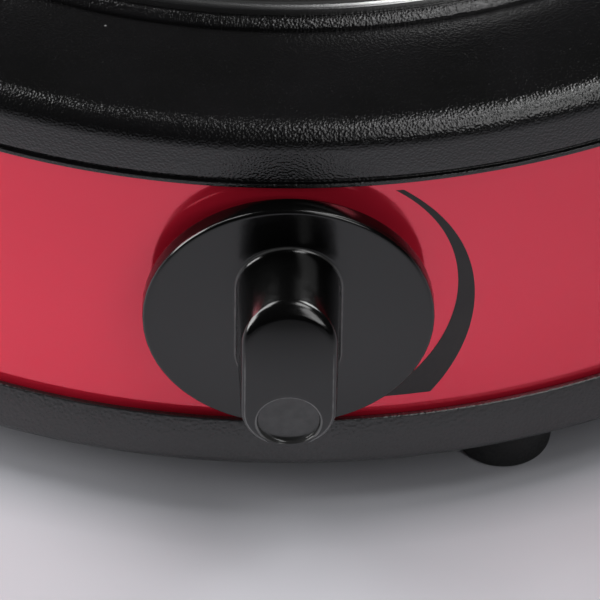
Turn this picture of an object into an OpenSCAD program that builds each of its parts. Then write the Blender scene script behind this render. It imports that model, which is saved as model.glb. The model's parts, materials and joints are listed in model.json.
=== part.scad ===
// Round table-top electric hot plate: a cast heating plate on a black pressed cover, a red side
// band, a black base pan on rubber feet, and a rotary thermostat behind the front knob.
// The axis of the body is +Z, the knob points along -Y, and z = 0 is the surface it stands on.

/* [Case] */
// Outer diameter of the side band
band_d = 195; // [186:1:240]
// Sheet thickness of the side band
band_wall = 0.8; // [0.6:0.1:1.4]
// Height of the band that shows between the base and the cover
band_show = 38.9; // [36.8:0.1:50]
// Height of the base pan's rim
base_rim_h = 7.1; // [7:0.1:14]
// How far the base rim stands out past the band
base_ledge = 2.3; // [2:0.1:4]
// Sheet thickness of the base pan
base_wall = 1.2; // [0.8:0.1:1.6]
// How far the cover stands out past the band
cover_over = 0.7; // [0.4:0.1:2]
// Sheet thickness of the cover
cover_wall = 1.0; // [0.8:0.1:1.3]
// Height of the cover's upright side, hem included
cover_side_h = 5.8; // [5:0.1:10]
// Radius of the cover's shoulder
cover_fillet = 3.2; // [2.5:0.1:5]
// Rise of the cover round the heating plate
cover_rise = 0.8; // [0.5:0.1:2]

/* [Feet] */
// Height of a foot below the base pan
foot_h = 6.5; // [4.5:0.1:12]
// Diameter of a foot at the base pan
foot_d = 13.4; // [11:0.1:16]
// Angle of the first foot from the knob
foot_angle = 17.5; // [15:0.5:30]
// Distance from a foot's side to the edge of the base's flat underside
foot_inset = 0.1; // [0:0.1:4]

/* [Heating plate] */
// Diameter of the heating plate
plate_d = 145; // [110:1:150]
// How far the plate's face stands above the trim ring
plate_stand = 6.4; // [4:0.1:10]
// Thickness of the trim ring
trim_t = 0.8; // [0.6:0.1:1.2]
// Width of the trim ring's flange on the cover
trim_w = 4.0; // [3:0.1:5]

/* [Knob] */
// Diameter of the knob's flange
knob_d = 36; // [32:0.5:38]
// Thickness of the knob's flange
flange_t = 2.6; // [1.6:0.1:2.6]
// Distance from the band to the flange's front face
knob_stand = 3.8; // [3.6:0.1:6]
// Length of the grip bar
grip_l = 23.4; // [18:0.1:30]
// Width of the grip bar at the flange
grip_w = 12.6; // [11:0.1:16]
// Narrowing of the grip bar from the flange to its face
grip_draft = 0.9; // [0.4:0.1:2]
// How far the grip bar stands out from the flange
grip_reach = 11.2; // [8:0.1:16]
// Diameter of the pointer dimple
dimple_d = 7.7; // [4:0.1:8]
// Depth of the pointer dimple
dimple_depth = 0.7; // [0.4:0.1:1]

/* [Thermostat] */
// Radius of the spindle
spindle_r = 3.0; // [2.5:0.1:3.2]
// Distance between the two bracket screws
bracket_pitch = 26; // [24:0.5:28]
// Thread pitch of the spindle
spindle_pitch = 1.0; // [0.8:0.05:1.2]

/* [Cord gland] */
// Radius of the hole for the cord
cord_hole_r = 3.6; // [3:0.1:4]
// How far the gland stands out from the band
gland_reach = 15.0; // [12:0.1:18]
// Height of the gland above the base pan
gland_rise = 20; // [16:0.5:28]

/* [Hidden] */
$fn = 96;

// Clearances
fit = 0.05;           // running fit, on the radius
gap = 0.3;            // free gap between fixed pieces
e = 0.01;             // overlap of a cutting tool past a face

// Radii and levels of the case
band_r = band_d / 2;
band_in = band_r - band_wall;
base_r = band_r + base_ledge;
cover_r = band_r + cover_over;
z_base = foot_h;
z_floor = z_base + base_wall;
z_ledge = z_base + base_rim_h;
z_band = z_ledge + band_show;
z_cover = z_band + cover_side_h + cover_fillet;
z_land = z_cover + cover_rise;
band_flange = 3;
hem_w = 2.6;
hem_t = 0.6;
groove_t = 0.75;
groove_depth = 0.5;
hem_in = 0.9;
base_bead_in = band_r + 0.35;
base_lip = 0.8;                          // width of the rim's top edge
base_bead_h = 2.4;
base_edge = 1.8;

// Heating plate, its opening and what hangs below it
plate_r = plate_d / 2;
open_r = plate_r + 1;
open_lip = 3;
land_in = open_r + trim_w + 0.4;
land_out = land_in + 1.5 * cover_rise;
z_rest = z_land + trim_t;
z_plate = z_rest + plate_stand;
plate_skin = 4.6;
plate_step = 2;
plate_skirt_w = 4;
z_skirt = z_rest - 6.6;
z_ceiling = z_plate - plate_skin;
boss_r = 9;
rib_w = 3;
channel_out = plate_r - plate_step - plate_skirt_w;
channel_in = boss_r + rib_w + (channel_out - boss_r) * 6 / 23;
channel_w = (channel_out - channel_in - rib_w) / 2;
rib_r = [channel_in - rib_w, channel_in + channel_w];   // inner radii of the two ribs
stud_r = 3;
z_bar = z_skirt - 3.8;
bar_t = 2;
bar_w = 20;
washer_t = 1.2;
nut_h = 4.5;
pin_r = 1.2;
pin_bush_r = 2.8;
cement_t = 1.4;
coil_r = 1.8;
z_coil = z_ceiling - coil_r - 1.6;
coil_turns_in = [channel_in + channel_w / 4, channel_in + channel_w * 3 / 4];
coil_turns_out = [channel_out - channel_w * 3 / 4, channel_out - channel_w / 4];
pin_x = 7;
pin_y = sqrt(coil_turns_in[0] * coil_turns_in[0] - pin_x * pin_x);
z_pin = z_skirt - 7;

// Tie bolts, posts and shield
tie_angle = foot_angle + 45;
tie_r = band_in - 9;
tie_bolt_r = 2;
post_r = 4.2;
z_shield = z_bar - washer_t - nut_h - 2.8;
shield_t = 0.8;
shield_r = tie_r + post_r + 0.6;
shield_dish = 4;

// Feet
foot_r = foot_d / 2;
foot_circle = base_r - base_edge - foot_r - foot_inset;
foot_taper = 0.8;
foot_screw_r = 1.5;
foot_head_r = 2.8;
foot_head_h = 1.8;

// Knob and spindle, along Y: y grows from the front of the knob to the inside of the case
knob_lift = 0.55;                        // the knob's axis above the middle of the band
z_knob = z_ledge + band_show / 2 + knob_lift;
y_face = -(band_r + knob_stand);
y_back = y_face + flange_t;
y_tip = y_face - grip_reach;
knob_r = knob_d / 2;
dimple_drop = grip_l / 2 - dimple_d / 2 - 1;
bush_wall = 1.45;
bush_r = spindle_r + bush_wall;
y_bush = -band_r;
bracket_ear = 6;
bracket_t = 1.0;
y_plate = 0.4 - sqrt(band_in * band_in - pow(bracket_pitch / 2 + bracket_ear, 2));
bush_flange_r = 6.5;
bush_flange_t = 1.0;
y_collar = y_plate + bracket_t + bush_flange_t + 0.1;
collar_t = 1.0;
collar_r = spindle_r + 1.2;
thread_r = spindle_r - 1;
thread_l = 4.8;
flat_drop = spindle_r - 1;
clip_t = 0.4;
groove_in = 0.5;
y_groove = y_bush - 0.9;
y_spindle = y_tip + 2.4;

// Thermostat block, push pin and blades
push_r = 3.6;
y_push = y_collar + collar_t + 0.5;
push_l = 7.8;
y_block_end = y_push + push_l - 1.0;
block_x = [-12, 20];
block_h = 16;
key_w = 1.2;
key_h = 1.0;
blade_w = 6;
blade_t = 0.4;
arm_t = 0.6;
stack_x = 12;
rivet_x = 16;
rivet_r = 1.5;
y_blade = y_push + push_l + 0.4;
contact_x = -9;
contact_r = 1.6;
contact_t = 0.8;
blade_end = -11;
knob_turn = 300;
push_travel = spindle_pitch * knob_turn / 360;
blade_travel = push_travel / stack_x * (stack_x - contact_x);
contact_gap = 0.2;
fixed_contact_t = 0.5;
y_arm = y_blade + blade_t + contact_t + blade_travel + contact_gap + fixed_contact_t;
y_bimetal = y_arm + arm_t + 1.4;
tab_reach = 27;

// Gland
gland_z = z_base + gland_rise;
gland_r = 6;
gland_in = 9.5;
gland_hex_r = 8.5;
gland_hex_t = 4;
gland_mouth_r = cord_hole_r + 0.3;

// Terminal block and leads
block_size = [34, 14, 13];
block_y = band_in - 45;
block_pitch = 11;
lead_r = 1.25;
lead_z = z_floor + 5;
shield_low = z_shield - shield_dish;
fuse_x = -26;
fuse_r = 2.2;
fuse_l = 12;
earth_x = 8.4;
earth_y = block_y - 33;
earth_r = 3.4;

// ---------- shared shapes ----------

// Points along an arc, from angle a to angle b
function arc(c, r, a, b, n = 8) = [for (i = [0:n]) c + r * [cos(a + (b - a) * i / n), sin(a + (b - a) * i / n)]];

module tube(r_out, r_in, h) {
    difference() {
        cylinder(h = h, r = r_out);
        translate([0, 0, -e]) cylinder(h = h + 2 * e, r = r_in);
    }
}

// A cylinder along +Y from y to y + l, centred on x and z
module rod_y(x, y, z, r, l) translate([x, y, z]) rotate([-90, 0, 0]) cylinder(h = l, r = r);

module cone_y(x, y, z, r1, r2, l) translate([x, y, z]) rotate([-90, 0, 0]) cylinder(h = l, r1 = r1, r2 = r2);

// Copies round the axis, the first at an angle from the front
module around(r, first, count = 4) {
    for (i = [0:count - 1]) rotate([0, 0, first + i * 360 / count]) translate([0, -r, 0]) children();
}

module hex(r, h) cylinder(h = h, r = r, $fn = 6);

module box_between(a, b) translate(a) cube(b - a);

// A round tube swept along a list of points, closed at both ends
function unit(v) = v / norm(v);
function smooth(p, i, t) =
    let (a = p[max(i - 1, 0)], b = p[i], c = p[i + 1], d = p[min(i + 2, len(p) - 1)])
    0.5 * (2 * b + (c - a) * t + (2 * a - 5 * b + 4 * c - d) * t * t + (3 * b - a - 3 * c + d) * t * t * t);
function route(p, steps) = concat([for (i = [0:len(p) - 2]) for (k = [0:steps - 1]) smooth(p, i, k / steps)],
    [p[len(p) - 1]]);
function tangent(p, i) = unit(p[min(i + 1, len(p) - 1)] - p[max(i - 1, 0)]);
function turned(v, t) = unit(v - (v * t) * t);
function frames(p, i, v) = i >= len(p) ? [] : let (w = turned(v, tangent(p, i))) concat([w], frames(p, i + 1, w));

// Three points in a line that start or end a lead at p, along the unit vector d out of the piece it meets
function stub(p, d, l, last) = last ? [p + 2 * l * d, p + l * d, p] : [p, p + l * d, p + 2 * l * d];

module swept(points, r, sides = 8, steps = 4) {
    p = route(points, steps);
    start = tangent(p, 0);
    first = abs(start[2]) < 0.9 ? cross(start, [0, 0, 1]) : cross(start, [1, 0, 0]);
    n = frames(p, 0, unit(first));
    last = len(p) - 1;
    ring = [for (i = [0:last]) for (k = [0:sides - 1])
        p[i] + r * (cos(360 * k / sides) * n[i] + sin(360 * k / sides) * cross(tangent(p, i), n[i]))];
    walls = [for (i = [0:last - 1]) for (k = [0:sides - 1])
        let (a = i * sides + k, b = i * sides + (k + 1) % sides) [a, a + sides, b + sides, b]];
    ends = [[for (k = [0:sides - 1]) k], [for (k = [sides - 1:-1:0]) last * sides + k]];
    polyhedron(points = ring, faces = concat(walls, ends), convexity = 4);
}

// ---------- case ----------

module top_cover() color([0.05, 0.05, 0.055]) {
    c = [cover_r - cover_fillet, z_band + cover_side_h];
    outside = concat(
        [[cover_r - hem_w, z_band], [cover_r, z_band], [cover_r, z_band + hem_t],
         [cover_r - groove_depth, z_band + hem_t + 0.15],
         [cover_r - groove_depth, z_band + hem_t + groove_t - 0.2],
         [cover_r, z_band + hem_t + groove_t]],
        arc(c, cover_fillet, 0, 90),
        [[land_out, z_cover], [land_in, z_land], [open_r, z_land], [open_r, z_land - open_lip]]);
    inside = concat(
        [[open_r + cover_wall, z_land - open_lip], [open_r + cover_wall, z_land - cover_wall],
         [land_in - 0.2, z_land - cover_wall], [land_out - 0.2, z_cover - cover_wall]],
        arc(c, cover_fillet - cover_wall, 90, 0),
        [[cover_r - cover_wall, z_band + hem_in], [cover_r - hem_w, z_band + hem_in]]);
    rotate_extrude() polygon(concat(outside, inside));
}

module side_band() color([0.62, 0.03, 0.06]) {
    difference() {
        union() {
            translate([0, 0, z_floor]) tube(band_r, band_in, z_band - z_floor);
            for (z = [z_floor, z_band - band_wall])
                translate([0, 0, z]) tube(band_in + e, band_r - band_flange, band_wall);
        }
        rod_y(0, -band_r - 1, z_knob, bush_r + 1, 10);
        for (side = [-1, 1]) rod_y(side * bracket_pitch / 2, -band_r - 1, z_knob, foot_screw_r + fit, 10);
        rod_y(0, band_r - 9, gland_z, gland_r + fit, 10);
    }
}

module base_pan() color([0.06, 0.06, 0.065]) {
    corner = base_lip * 0.3;
    top_r = base_bead_in + base_lip;
    difference() {
        rotate_extrude() polygon(concat(
            [[0, z_base]],
            arc([base_r - base_edge, z_base + base_edge], base_edge, -90, 0, 6),
            arc([top_r - corner, z_ledge - corner], corner, 12, 90, 5),
            arc([base_bead_in + corner, z_ledge - corner], corner, 90, 180, 5),
            [[base_bead_in, z_ledge - base_bead_h], [base_r - base_wall, z_ledge - base_bead_h - 0.6],
             [base_r - base_wall, z_floor], [0, z_floor]]));
        around(foot_circle, foot_angle) translate([0, 0, z_base - 1]) cylinder(h = 4, r = foot_screw_r + fit);
        around(tie_r, tie_angle) translate([0, 0, z_base - 1]) cylinder(h = 4, r = tie_bolt_r + fit);
        vents();
    }
}

// Rings of slots that let air in under the plate
module vents() {
    slot_w = 3;
    slot_l = 12;
    for (ring = [[26, 8], [50, 12]])
        around(ring[0], 15, ring[1]) translate([0, 0, z_base - 1]) {
            translate([-slot_w / 2, -slot_l / 2, 0]) cube([slot_w, slot_l, 4]);
            for (s = [-1, 1]) translate([0, s * slot_l / 2, 0]) cylinder(h = 4, r = slot_w / 2, $fn = 32);
        }
}

module trim_ring() color([0.75, 0.75, 0.76]) {
    crest = 0.6;
    lip = 2.2;
    rotate_extrude() polygon([
        [open_r - gap - trim_t, z_land - lip], [open_r - gap, z_land - lip], [open_r - gap, z_land],
        [open_r + trim_w - crest, z_land], [open_r + trim_w, z_land], [open_r + trim_w, z_land + crest],
        [open_r + trim_w - crest, z_rest + crest], [open_r + trim_w - 2 * crest, z_rest + crest],
        [open_r + trim_w - 3 * crest, z_rest], [open_r - gap - trim_t, z_rest]]);
}

// ---------- heating plate ----------

module heating_plate() color([0.10, 0.10, 0.105]) {
    skirt_r = open_r - gap - trim_t - 0.5;
    chamfer = 1.2;
    recess_r = 20;
    recess = 0.8;
    step_r = plate_r - plate_step;
    difference() {
        rotate_extrude() polygon([
            [0, z_plate - recess], [recess_r - recess, z_plate - recess], [recess_r, z_plate],
            [plate_r - chamfer, z_plate], [plate_r, z_plate - chamfer], [plate_r, z_rest],
            [min(step_r, skirt_r), z_rest], [min(step_r, skirt_r), z_skirt],
            [channel_out, z_skirt], [channel_out, z_ceiling],
            [rib_r[1] + rib_w, z_ceiling], [rib_r[1] + rib_w, z_skirt],
            [rib_r[1], z_skirt], [rib_r[1], z_ceiling],
            [channel_in, z_ceiling], [channel_in, z_skirt],
            [rib_r[0], z_skirt], [rib_r[0], z_ceiling],
            [boss_r, z_ceiling], [boss_r, z_skirt], [0, z_skirt]]);
        translate([0, 0, z_skirt - e]) cylinder(h = 6, r = stud_r);
    }
}

module coil(turns) {
    for (r = turns) rotate_extrude() translate([r, z_coil]) circle(r = coil_r, $fn = 24);
}

module coil_outer() color([0.45, 0.42, 0.40]) coil(coil_turns_out);

module coil_inner() color([0.45, 0.42, 0.40]) coil(coil_turns_in);

module coil_cement() color([0.80, 0.78, 0.72]) {
    difference() {
        for (ends = [[channel_in, rib_r[1]], [rib_r[1] + rib_w, channel_out]])
            translate([0, 0, z_skirt + cement_t]) tube(ends[1], ends[0], z_ceiling - z_skirt - cement_t);
        coil(coil_turns_in);
        coil(coil_turns_out);
        for (s = [-1, 1]) translate([s * pin_x, pin_y, z_skirt]) cylinder(h = z_coil - z_skirt, r = pin_r);
    }
}

module element_cover() color([0.55, 0.55, 0.56]) {
    sheet = 0.8;
    difference() {
        translate([0, 0, z_skirt - sheet]) tube(plate_r - plate_step, stud_r + 1, sheet);
        for (s = [-1, 1]) translate([s * pin_x, pin_y, z_skirt - sheet - 1]) cylinder(h = 3, r = pin_bush_r + fit);
    }
}

module element_pins() color([0.7, 0.68, 0.6]) {
    for (s = [-1, 1]) difference() {
        translate([s * pin_x, pin_y, z_pin]) cylinder(h = z_coil - z_pin, r = pin_r);
        coil(coil_turns_in);
    }
}

module pin_bushes() color([0.9, 0.88, 0.82]) {
    for (s = [-1, 1]) translate([s * pin_x, pin_y, z_skirt - 3.2]) tube(pin_bush_r, pin_r + fit, 3.2 + cement_t);
}

module plate_stud() color([0.6, 0.6, 0.58]) {
    translate([0, 0, z_bar - washer_t - nut_h - 1]) cylinder(h = z_skirt + 5 - z_bar + washer_t + nut_h + 1, r = stud_r);
}

// A hat-shaped bar whose ends bear on the underside of the cover
module clamp_bar() color([0.6, 0.6, 0.58]) {
    end_x = land_in - 1;
    knee = open_r + cover_wall + 0.4;
    flat_x = plate_r - plate_step + 1;
    z_end = z_land - cover_wall;
    half = [[flat_x + 1, z_bar], [knee + 1.6, z_end - bar_t], [end_x, z_end - bar_t], [end_x, z_end],
        [knee, z_end], [knee - 0.4, z_land - open_lip - 0.4], [flat_x, z_bar + bar_t]];
    mirrored = [for (i = [len(half) - 1:-1:0]) [-half[i][0], half[i][1]]];
    difference() {
        translate([0, bar_w / 2, 0]) rotate([90, 0, 0]) linear_extrude(bar_w) polygon(concat(half, mirrored));
        translate([0, 0, z_bar - 1]) cylinder(h = bar_t + 2, r = stud_r + fit);
    }
}

module stud_washer() color([0.7, 0.7, 0.7]) translate([0, 0, z_bar - washer_t]) tube(6.5, stud_r + fit, washer_t);

module stud_nut() color([0.7, 0.7, 0.68]) translate([0, 0, z_bar - washer_t - nut_h]) difference() {
    hex(5.8, nut_h);
    translate([0, 0, -e]) cylinder(h = nut_h + 2 * e, r = stud_r);
}

// ---------- shield and tie bolts ----------

module heat_shield() color([0.65, 0.66, 0.68]) {
    rim = 14;
    hole_r = 7;
    difference() {
        rotate_extrude() polygon([
            [0, z_shield - shield_dish], [shield_r - rim - shield_dish, z_shield - shield_dish],
            [shield_r - rim, z_shield], [shield_r, z_shield], [shield_r, z_shield + shield_t],
            [shield_r - rim - 0.3, z_shield + shield_t],
            [shield_r - rim - shield_dish - 0.3, z_shield - shield_dish + shield_t],
            [0, z_shield - shield_dish + shield_t]]);
        around(tie_r, tie_angle) translate([0, 0, z_shield - 1]) cylinder(h = 3, r = tie_bolt_r + fit);
        for (s = [-1, 1]) translate([s * pin_x * 2, pin_y, z_shield - shield_dish - 1]) cylinder(h = 4, r = hole_r - 2);
    }
}

module cover_posts() color([0.6, 0.6, 0.58]) {
    z_post = z_shield + shield_t;
    around(tie_r, tie_angle) translate([0, 0, z_post]) difference() {
        cylinder(h = z_cover - cover_wall - z_post, r = post_r);
        translate([0, 0, -e]) cylinder(h = 9, r = tie_bolt_r);
    }
}

module tie_spacers() color([0.6, 0.6, 0.58]) {
    around(tie_r, tie_angle) translate([0, 0, z_floor]) tube(post_r - 0.4, tie_bolt_r + fit, z_shield - z_floor);
}

module tie_bolts() color([0.5, 0.5, 0.5]) {
    head_h = 2.4;
    around(tie_r, tie_angle) difference() {
        union() {
            translate([0, 0, z_base - head_h]) cylinder(h = head_h, r = 3.8);
            translate([0, 0, z_base - e]) cylinder(h = z_shield + shield_t + 7 - z_base, r = tie_bolt_r);
        }
        cross_slot(z_base - head_h, 1.4);
    }
}

// A cross recess cut upwards from z
module cross_slot(z, depth) {
    arm = 3.6;
    width = 0.8;
    for (a = [0, 90]) rotate([0, 0, a]) translate([-arm / 2, -width / 2, z - e]) cube([arm, width, depth]);
}

// ---------- feet ----------

module foot(index) rotate([0, 0, foot_angle + 90 * index]) translate([0, -foot_circle, 0]) color([0.04, 0.04, 0.04]) {
    edge = 0.6;
    well_r = foot_head_r + 0.5;
    well_h = 2.6;
    rotate_extrude() polygon(concat(
        [[well_r, 0]],
        arc([foot_r - foot_taper - edge, edge], edge, -90, 0, 5),
        [[foot_r, foot_h], [foot_screw_r + fit, foot_h], [foot_screw_r + fit, well_h], [well_r, well_h]]));
}

module foot_front_right() foot(0);
module foot_rear_right() foot(1);
module foot_rear_left() foot(2);
module foot_front_left() foot(3);

module foot_screws() color([0.6, 0.6, 0.6]) {
    seat = 2.6;
    around(foot_circle, foot_angle) difference() {
        union() {
            translate([0, 0, seat - foot_head_h]) cylinder(h = foot_head_h, r = foot_head_r);
            translate([0, 0, seat - e]) cylinder(h = z_floor + 3.2 - seat, r = foot_screw_r);
        }
        cross_slot(seat - foot_head_h, 1.0);
    }
}

module foot_nuts() color([0.65, 0.65, 0.63]) {
    around(foot_circle, foot_angle) translate([0, 0, z_floor]) difference() {
        hex(3.1, 2.4);
        translate([0, 0, -e]) cylinder(h = 3, r = foot_screw_r);
    }
}

// ---------- knob and spindle ----------

module knob() color([0.07, 0.07, 0.075]) {
    end = grip_l / 2 - grip_w / 2;
    difference() {
        union() {
            rod_y(0, y_face, z_knob, knob_r, flange_t);
            hull() for (s = [-1, 1])
                cone_y(0, y_tip, z_knob + s * end, grip_w / 2 - grip_draft / 2, grip_w / 2, grip_reach, $fn = 48);
            rod_y(0, y_face, z_knob, grip_w / 2, e);
        }
        difference() {
            rod_y(0, y_spindle - 0.4, z_knob, spindle_r + fit, y_back - y_spindle + 1);
            translate([-5, y_spindle - 1, z_knob + flat_drop + clip_t]) cube([10, 40, 4]);
        }
        rod_y(0, y_back - 0.8, z_knob, spindle_r + 1.8, 2);
        rod_y(0, y_tip - 1, z_knob - dimple_drop, dimple_d / 2, 1 + dimple_depth);
    }
}

module knob_clip() color([0.7, 0.7, 0.68]) {
    clip_w = 1.2 * spindle_r;
    translate([-clip_w / 2, y_spindle + 0.4, z_knob + flat_drop]) cube([clip_w, 7.5, clip_t]);
}

module spindle() color([0.72, 0.72, 0.7]) {
    y_thread = y_collar + collar_t;
    difference() {
        union() {
            rod_y(0, y_spindle, z_knob, spindle_r, y_collar - y_spindle + e);
            rod_y(0, y_collar, z_knob, collar_r, collar_t);
            rod_y(0, y_thread - e, z_knob, thread_r, thread_l + e);
        }
        translate([-5, y_spindle - 1, z_knob + flat_drop]) cube([10, y_back + 1.1 - y_spindle, 4]);
        rod_groove();
    }
}

// The groove that holds the circlip
module rod_groove() translate([0, y_groove, z_knob]) rotate([-90, 0, 0]) tube(spindle_r + 1, spindle_r - groove_in, 0.7);

module spindle_circlip() color([0.5, 0.5, 0.5]) translate([0, y_groove + 0.05, z_knob]) rotate([-90, 0, 0]) difference() {
    tube(spindle_r + 1.4, spindle_r - groove_in, 0.6);
    translate([-1.2, 0, -1]) cube([2.4, 6, 3]);
}

module spindle_bush() color([0.75, 0.62, 0.3]) {
    y_end = y_plate + bracket_t + bush_flange_t;
    difference() {
        union() {
            rod_y(0, y_bush, z_knob, bush_r, y_end - y_bush);
            rod_y(0, y_end - bush_flange_t, z_knob, bush_flange_r, bush_flange_t);
        }
        rod_y(0, y_bush - 1, z_knob, spindle_r + fit, y_end - y_bush + 2);
    }
}

// ---------- thermostat ----------

module thermostat_bracket() color([0.68, 0.69, 0.7]) {
    half = bracket_pitch / 2;
    difference() {
        union() {
            box_between([-half, y_plate, z_knob - bracket_ear], [half, y_plate + bracket_t, z_knob + bracket_ear]);
            for (s = [-1, 1]) rod_y(s * half, y_plate, z_knob, bracket_ear, bracket_t);
        }
        rod_y(0, y_plate - 1, z_knob, bush_r + fit, 4);
        for (s = [-1, 1]) rod_y(s * half, y_plate - 1, z_knob, foot_screw_r + fit, 4);
    }
}

module bracket_spacers() color([0.7, 0.7, 0.7]) {
    spacer_r = foot_screw_r + 1.6;
    y0 = -sqrt(band_in * band_in - pow(bracket_pitch / 2 + spacer_r, 2));
    for (s = [-1, 1]) translate([s * bracket_pitch / 2, y0, z_knob]) rotate([-90, 0, 0])
        tube(spacer_r, foot_screw_r + fit, y_plate - y0);
}

module bracket_screws() color([0.75, 0.75, 0.74]) {
    head_r = 2.7;
    head_h = 1.3;
    y_head = -sqrt(band_r * band_r - pow(bracket_pitch / 2 - head_r, 2));
    for (s = [-1, 1]) difference() {
        union() {
            rod_y(s * bracket_pitch / 2, y_head - head_h, z_knob, head_r, head_h);
            rod_y(s * bracket_pitch / 2, y_head - e, z_knob, foot_screw_r, y_plate + bracket_t + 3.6 - y_head);
        }
        translate([s * bracket_pitch / 2 - 3, y_head - head_h - e, z_knob - 0.4]) cube([6, 0.7, 0.8]);
    }
}

module bracket_nuts() color([0.7, 0.7, 0.68]) {
    for (s = [-1, 1]) translate([s * bracket_pitch / 2, y_plate + bracket_t, z_knob]) rotate([-90, 0, 0]) difference() {
        hex(3.1, 2.4);
        translate([0, 0, -e]) cylinder(h = 3, r = foot_screw_r);
    }
}

module thermostat_block() color([0.88, 0.85, 0.78]) {
    y0 = y_plate + bracket_t;
    nut_room = 4;
    difference() {
        box_between([block_x[0], y0, z_knob - block_h / 2], [block_x[1], y_block_end, z_knob + block_h / 2]);
        rod_y(0, y0 - 1, z_knob, bush_flange_r + 0.1, bush_flange_t + 1.2);
        rod_y(0, y0 - 1, z_knob, collar_r + 0.3, y_push - y0 + 0.8);
        rod_y(0, y0 - 1, z_knob, push_r + fit, y_block_end - y0 + 2);
        translate([-key_w / 2 - fit, y_push - 0.3, z_knob]) cube([key_w + 2 * fit, 20, push_r + key_h + fit]);
        rod_y(rivet_x, y0 - 1, z_knob, rivet_r + fit, 30);
        for (s = [-1, 1]) rod_y(s * bracket_pitch / 2, y0 - 1, z_knob, nut_room, 5.6);
        rod_y(rivet_x, y0 - 1, z_knob, 3.4, 6.6);
    }
}

module push_pin() color([0.93, 0.92, 0.88]) {
    difference() {
        union() {
            rod_y(0, y_push, z_knob, push_r, push_l);
            translate([-key_w / 2, y_push, z_knob]) cube([key_w, push_l, push_r + key_h]);
            cone_y(0, y_push + push_l - e, z_knob, 2, 1.2, 0.25 + e);
        }
        rod_y(0, y_push - e, z_knob, thread_r + fit, push_l - 2.6);
    }
}

module contact_blade() color([0.85, 0.66, 0.35]) {
    box_between([blade_end, y_blade, z_knob - blade_w / 2], [stack_x - 0.1, y_blade + blade_t, z_knob + blade_w / 2]);
    rod_y(contact_x, y_blade + blade_t - e, z_knob, contact_r, contact_t + e);
}

module blade_terminal() color([0.85, 0.66, 0.35]) difference() {
    box_between([stack_x, y_blade, z_knob - blade_w / 2], [tab_reach, y_blade + blade_t, z_knob + blade_w / 2]);
    rod_y(rivet_x, y_blade - 1, z_knob, rivet_r + fit, 3);
}

module fixed_blade() color([0.8, 0.6, 0.32]) {
    tab_h = 9.5;
    difference() {
        union() {
            box_between([blade_end, y_arm, z_knob - blade_w / 2], [20, y_arm + arm_t, z_knob + blade_w / 2]);
            box_between([14, y_arm, z_knob - tab_h], [20, y_arm + arm_t, z_knob]);
            rod_y(contact_x, y_arm - fixed_contact_t, z_knob, contact_r, fixed_contact_t + e);
        }
        rod_y(rivet_x, y_arm - 1, z_knob, rivet_r + fit, 3);
    }
}

module bimetal_strip() color([0.62, 0.6, 0.58]) difference() {
    box_between([blade_end - 1, y_bimetal, z_knob - blade_w / 2], [20, y_bimetal + arm_t, z_knob + blade_w / 2]);
    rod_y(rivet_x, y_bimetal - 1, z_knob, rivet_r + fit, 3);
}

module stack_spacers() color([0.95, 0.94, 0.9]) {
    for (ends = [[y_block_end, y_blade], [y_blade + blade_t, y_arm], [y_arm + arm_t, y_bimetal]]) difference() {
        box_between([stack_x + 0.2, ends[0], z_knob - 4], [20, ends[1], z_knob + 4]);
        rod_y(rivet_x, ends[0] - 1, z_knob, rivet_r + fit, ends[1] - ends[0] + 2);
    }
}

module stack_rivet() color([0.7, 0.7, 0.7]) {
    y0 = y_plate + bracket_t + 5.6;
    y1 = y_bimetal + arm_t;
    rod_y(rivet_x, y0 - 1.2, z_knob, 2.8, 1.2);
    rod_y(rivet_x, y0 - e, z_knob, rivet_r, y1 - y0 + 2 * e);
    rod_y(rivet_x, y1, z_knob, 2.8, 1.2);
}

// ---------- cord gland and wiring ----------

module gland_body() color([0.08, 0.08, 0.085]) {
    nose = 2;
    difference() {
        union() {
            rod_y(0, band_r - gland_in, gland_z, gland_r, gland_in + gland_hex_t);
            translate([0, band_r, gland_z]) rotate([-90, 0, 0]) hex(gland_hex_r, gland_hex_t);
            rod_y(0, band_r + gland_hex_t, gland_z, gland_r - 0.6, gland_reach - gland_hex_t - nose);
        }
        rod_y(0, band_r - gland_in - 1, gland_z, cord_hole_r, gland_in + gland_reach + 2);
    }
}

module gland_cap() color([0.08, 0.08, 0.085]) {
    nose = 2;
    grip = 1.6;
    y0 = band_r + gland_hex_t;
    l = gland_reach - gland_hex_t;
    shape = [[gland_r - 0.6 + fit, 0], [gland_r + grip, 0], [gland_r + grip, l * 0.6],
        [gland_mouth_r + 1.2, l], [gland_mouth_r, l], [gland_mouth_r, l - nose], [gland_r - 0.6 + fit, l - nose]];
    translate([0, y0, gland_z]) rotate([-90, 0, 0]) difference() {
        rotate_extrude() polygon(shape);
        around(gland_r + grip + 0.3, 0, 10) translate([0, 0, -e]) cylinder(h = l * 0.5, r = 0.9, $fn = 24);
    }
}

module gland_locknut() color([0.1, 0.1, 0.1]) {
    nut_t = 4;
    y0 = sqrt(band_in * band_in - gland_hex_r * gland_hex_r) - nut_t;
    translate([0, y0, gland_z]) rotate([-90, 0, 0]) difference() {
        hex(gland_hex_r, nut_t);
        translate([0, 0, -e]) cylinder(h = nut_t + 2 * e, r = gland_r);
    }
}

module terminal_block() color([0.9, 0.88, 0.82]) difference() {
    translate([-block_size[0] / 2, block_y - block_size[1] / 2, z_floor]) cube(block_size);
    for (i = [-1:1]) {
        rod_y(i * block_pitch, block_y - 20, lead_z, lead_r + 0.6, 40);
        translate([i * block_pitch, block_y, lead_z]) cylinder(h = 20, r = 2 + fit);
    }
}

module terminal_screws() color([0.8, 0.65, 0.3]) {
    for (i = [-1:1]) translate([i * block_pitch, block_y, lead_z + lead_r]) difference() {
        cylinder(h = 5, r = 2);
        translate([-3, -0.3, 4.2]) cube([6, 0.6, 2]);
    }
}

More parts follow.
